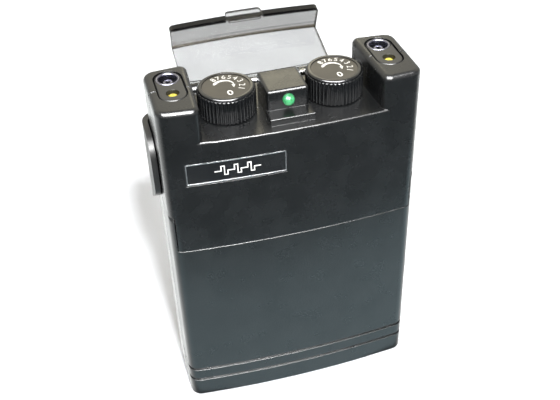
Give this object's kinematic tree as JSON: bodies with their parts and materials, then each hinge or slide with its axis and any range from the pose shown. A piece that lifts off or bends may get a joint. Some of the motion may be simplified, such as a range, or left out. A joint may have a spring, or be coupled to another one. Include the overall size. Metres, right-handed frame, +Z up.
{
  "type": "two-channel nerve stimulator",
  "caption": "Pocket battery-powered nerve stimulator in a black case: ribbed intensity knobs under a clear flip-up lid, output towers, sliding control cover and a belt clip.",
  "frame": {"origin": "middle of the flat bottom, where the part stands", "axes": "+X to the user's right, -Y the front face, +Z up towards the knobs"},
  "size_m": [0.0684, 0.0534, 0.0965],
  "materials": {
    "case_plastic": "satin charcoal-black moulded ABS",
    "cover_plastic": "satin charcoal-black moulded ABS",
    "clear_plastic": "clear polycarbonate with polished faces and darker edges",
    "knob_plastic": "fine-moulded black nylon with upright ribs",
    "dial_face": "matt dark disc with white printed numbers",
    "bezel_plastic": "smooth black insert",
    "socket_plastic": "black nylon insulator",
    "plated_contact": "nickel-plated contact",
    "steel": "zinc-plated steel",
    "brass": "turned brass",
    "yellow_lens": "diffused yellow epoxy lens",
    "green_lens": "diffused green epoxy lens",
    "label_plate": "smooth black plate, left blank",
    "circuit_board": "green solder mask on glass laminate",
    "chip_resin": "black moulded resin",
    "capacitor_sleeve": "shrunk dark blue sleeve",
    "resistor_coat": "beige lacquer",
    "ferrite": "ground ferrite",
    "coil_tape": "yellow polyester tape over wire",
    "control_white": "off-white moulded lever and dial",
    "switch_frame": "black switch and trimmer body",
    "battery_wrap": "printed steel can, plain",
    "connector_vinyl": "black vinyl moulding",
    "red_insulation": "red PVC insulation",
    "black_insulation": "black PVC insulation",
    "foam": "closed-cell foam",
    "spring_steel": "hard-drawn spring wire",
    "clip_plastic": "black acetal"
  },
  "bodies": {
    "root": {"front_shell": "case_plastic", "rear_shell": "case_plastic", "name_plate": "label_plate", "lid_hinge_pin": "steel", "case_screws": "steel", "board_screws": "steel", "clip_pin": "steel", "clip_spring": "spring_steel", "clip_bracket": "clip_plastic", "output_bezel_left": "bezel_plastic", "jack_sleeve_left": "plated_contact", "jack_pin_left": "plated_contact", "jack_body_left": "socket_plastic", "channel_led_left": "yellow_lens", "pot_body_left": "switch_frame", "pot_bush_left": "brass", "pot_nut_left": "steel", "transformer_core_left": "ferrite", "transformer_coil_left": "coil_tape", "output_bezel_right": "bezel_plastic", "jack_sleeve_right": "plated_contact", "jack_pin_right": "plated_contact", "jack_body_right": "socket_plastic", "channel_led_right": "yellow_lens", "pot_body_right": "switch_frame", "pot_bush_right": "brass", "pot_nut_right": "steel", "transformer_core_right": "ferrite", "transformer_coil_right": "coil_tape", "power_led": "green_lens", "main_board": "circuit_board", "top_board": "circuit_board", "timing_chip": "chip_resin", "transistors": "chip_resin", "board_header": "chip_resin", "capacitors": "capacitor_sleeve", "resistors": "resistor_coat", "mode_switch_body": "switch_frame", "timer_switch_body": "switch_frame", "rate_trimmer_body": "switch_frame", "width_trimmer_body": "switch_frame", "battery_9v": "battery_wrap", "battery_studs": "plated_contact", "battery_connector": "connector_vinyl", "battery_lead_red": "red_insulation", "battery_lead_black": "black_insulation", "battery_pad": "foam"},
    "left_knob": {"knob_shaft_left": "steel", "knob_cap_left": "knob_plastic", "knob_dial_left": "dial_face"},
    "right_knob": {"knob_shaft_right": "steel", "knob_cap_right": "knob_plastic", "knob_dial_right": "dial_face"},
    "lid": {"knob_cover": "clear_plastic"},
    "front_cover": {"control_cover": "cover_plastic"},
    "belt_tongue": {"clip_tongue": "clip_plastic"},
    "mode_switch": {"mode_switch_slider": "control_white"},
    "timer_switch": {"timer_switch_slider": "control_white"},
    "rate_control": {"rate_dial": "control_white"},
    "width_control": {"width_dial": "control_white"}
  },
  "joints": [
    {"name": "left_knob_turn", "type": "hinge", "parent": "root", "child": "left_knob", "pos_m": [-0.0137, 0.001, 0.094], "axis": [0, 0, 1], "range_deg": [-205, 0]},
    {"name": "right_knob_turn", "type": "hinge", "parent": "root", "child": "right_knob", "pos_m": [0.0137, 0.001, 0.094], "axis": [0, 0, 1], "range_deg": [-205, 0]},
    {"name": "lid_swing", "type": "hinge", "parent": "root", "child": "lid", "pos_m": [0, 0.0138, 0.0872], "axis": [1, 0, 0], "range_deg": [0, 163]},
    {"name": "cover_slide", "type": "slide", "parent": "root", "child": "front_cover", "axis": [0, 0, -1], "range_m": [0, 0.048]},
    {"name": "tongue_pinch", "type": "hinge", "parent": "root", "child": "belt_tongue", "pos_m": [0, 0.0166, 0.071], "axis": [1, 0, 0], "range_deg": [0, 15], "stiffness_Nm_per_rad": 0.05, "springref_deg": -20.05},
    {"name": "mode_slide", "type": "slide", "parent": "root", "child": "mode_switch", "axis": [1, 0, 0], "range_m": [-0.003, 0.003]},
    {"name": "timer_slide", "type": "slide", "parent": "root", "child": "timer_switch", "axis": [1, 0, 0], "range_m": [-0.003, 0.003]},
    {"name": "rate_turn", "type": "hinge", "parent": "root", "child": "rate_control", "pos_m": [-0.012, -0.008, 0.039], "axis": [0, -1, 0], "range_deg": [-135, 135]},
    {"name": "width_turn", "type": "hinge", "parent": "root", "child": "width_control", "pos_m": [0.012, -0.008, 0.039], "axis": [0, -1, 0], "range_deg": [-135, 135]}
  ]
}
